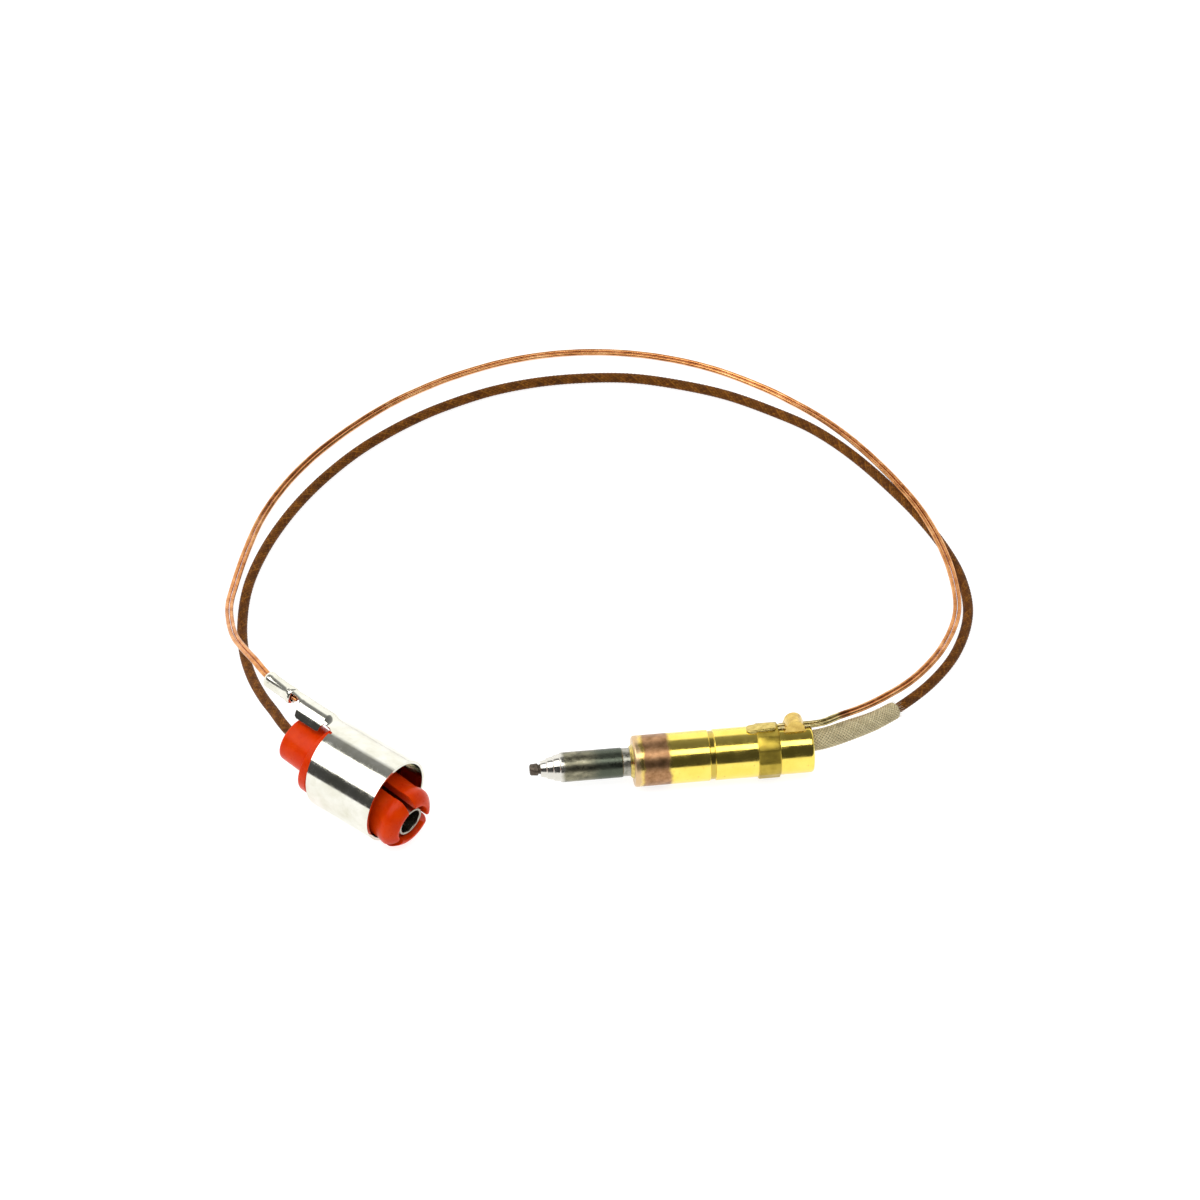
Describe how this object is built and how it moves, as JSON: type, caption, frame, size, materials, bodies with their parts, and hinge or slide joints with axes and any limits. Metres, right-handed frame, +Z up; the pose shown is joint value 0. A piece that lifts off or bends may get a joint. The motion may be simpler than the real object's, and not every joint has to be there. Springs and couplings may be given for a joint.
{
  "type": "thermocouple",
  "caption": "Gas-burner thermocouple: brass-bodied flame probe, insulated lead and bare copper ground wires in one loop, ending in a coaxial push-on plug.",
  "frame": {"origin": "under the middle of the probe, on the surface that the probe, the leads and the plug lie on", "axes": "+X along the probe from its hot tip towards the leads, +Y towards the loop of the leads, +Z up"},
  "size_m": [0.0927, 0.0871, 0.0111],
  "materials": {
    "scaled_bead": "rough oxide scale on a weld bead",
    "heat_tinted_sheath": "turned alloy, heat-tinted grey-green",
    "element_alloy": "drawn alloy wire",
    "braze": "flowed braze metal",
    "brass": "turned and bright, heat-stained at the front",
    "ceramic": "unglazed insulator",
    "copper": "drawn bare copper",
    "braided_insulation": "varnished brown braid",
    "glass_fibre": "cream braided glass fibre",
    "plated_shell": "bright tin-plated sheet",
    "orange_plastic": "moulded, soft gloss",
    "plated_contact": "plated contact tube"
  },
  "bodies": {
    "thermocouple": {"hot_junction_bead": "scaled_bead", "sensing_sheath": "heat_tinted_sheath", "thermoelement_wire": "element_alloy", "front_braze_ring": "braze", "brass_body": "brass", "splice_insulator": "ceramic", "core_splice_ferrule": "copper", "lead_core_probe_end": "copper", "rear_insulating_bush": "ceramic", "ground_wire_braze": "braze", "copper_clamp_lug": "brass", "insulated_lead": "braided_insulation", "glass_fibre_sleeve": "glass_fibre", "ground_wire_a": "copper", "ground_wire_b": "copper", "plug_shell": "plated_shell", "plug_insulator": "orange_plastic", "center_contact": "plated_contact", "lead_core_plug_end": "copper"},
    "finger_1": {"snap_finger_1": "orange_plastic"},
    "finger_2": {"snap_finger_2": "orange_plastic"},
    "finger_3": {"snap_finger_3": "orange_plastic"}
  },
  "joints": [
    {"name": "finger_1_flex", "type": "hinge", "parent": "thermocouple", "child": "finger_1", "pos_m": [-0.03522, -0.00042, 0.00654], "axis": [0.3805, 0.452, -0.8068], "range_deg": [0, 2.5], "stiffness_Nm_per_rad": 0.002},
    {"name": "finger_2_flex", "type": "hinge", "parent": "thermocouple", "child": "finger_2", "pos_m": [-0.03913, -0.00394, 0.006], "axis": [0.3585, 0.2139, 0.9087], "range_deg": [0, 2.5], "stiffness_Nm_per_rad": 0.002},
    {"name": "finger_3_flex", "type": "hinge", "parent": "thermocouple", "child": "finger_3", "pos_m": [-0.03712, -0.00155, 0.00174], "axis": [-0.7391, -0.6659, -0.1019], "range_deg": [0, 2.5], "stiffness_Nm_per_rad": 0.002}
  ]
}
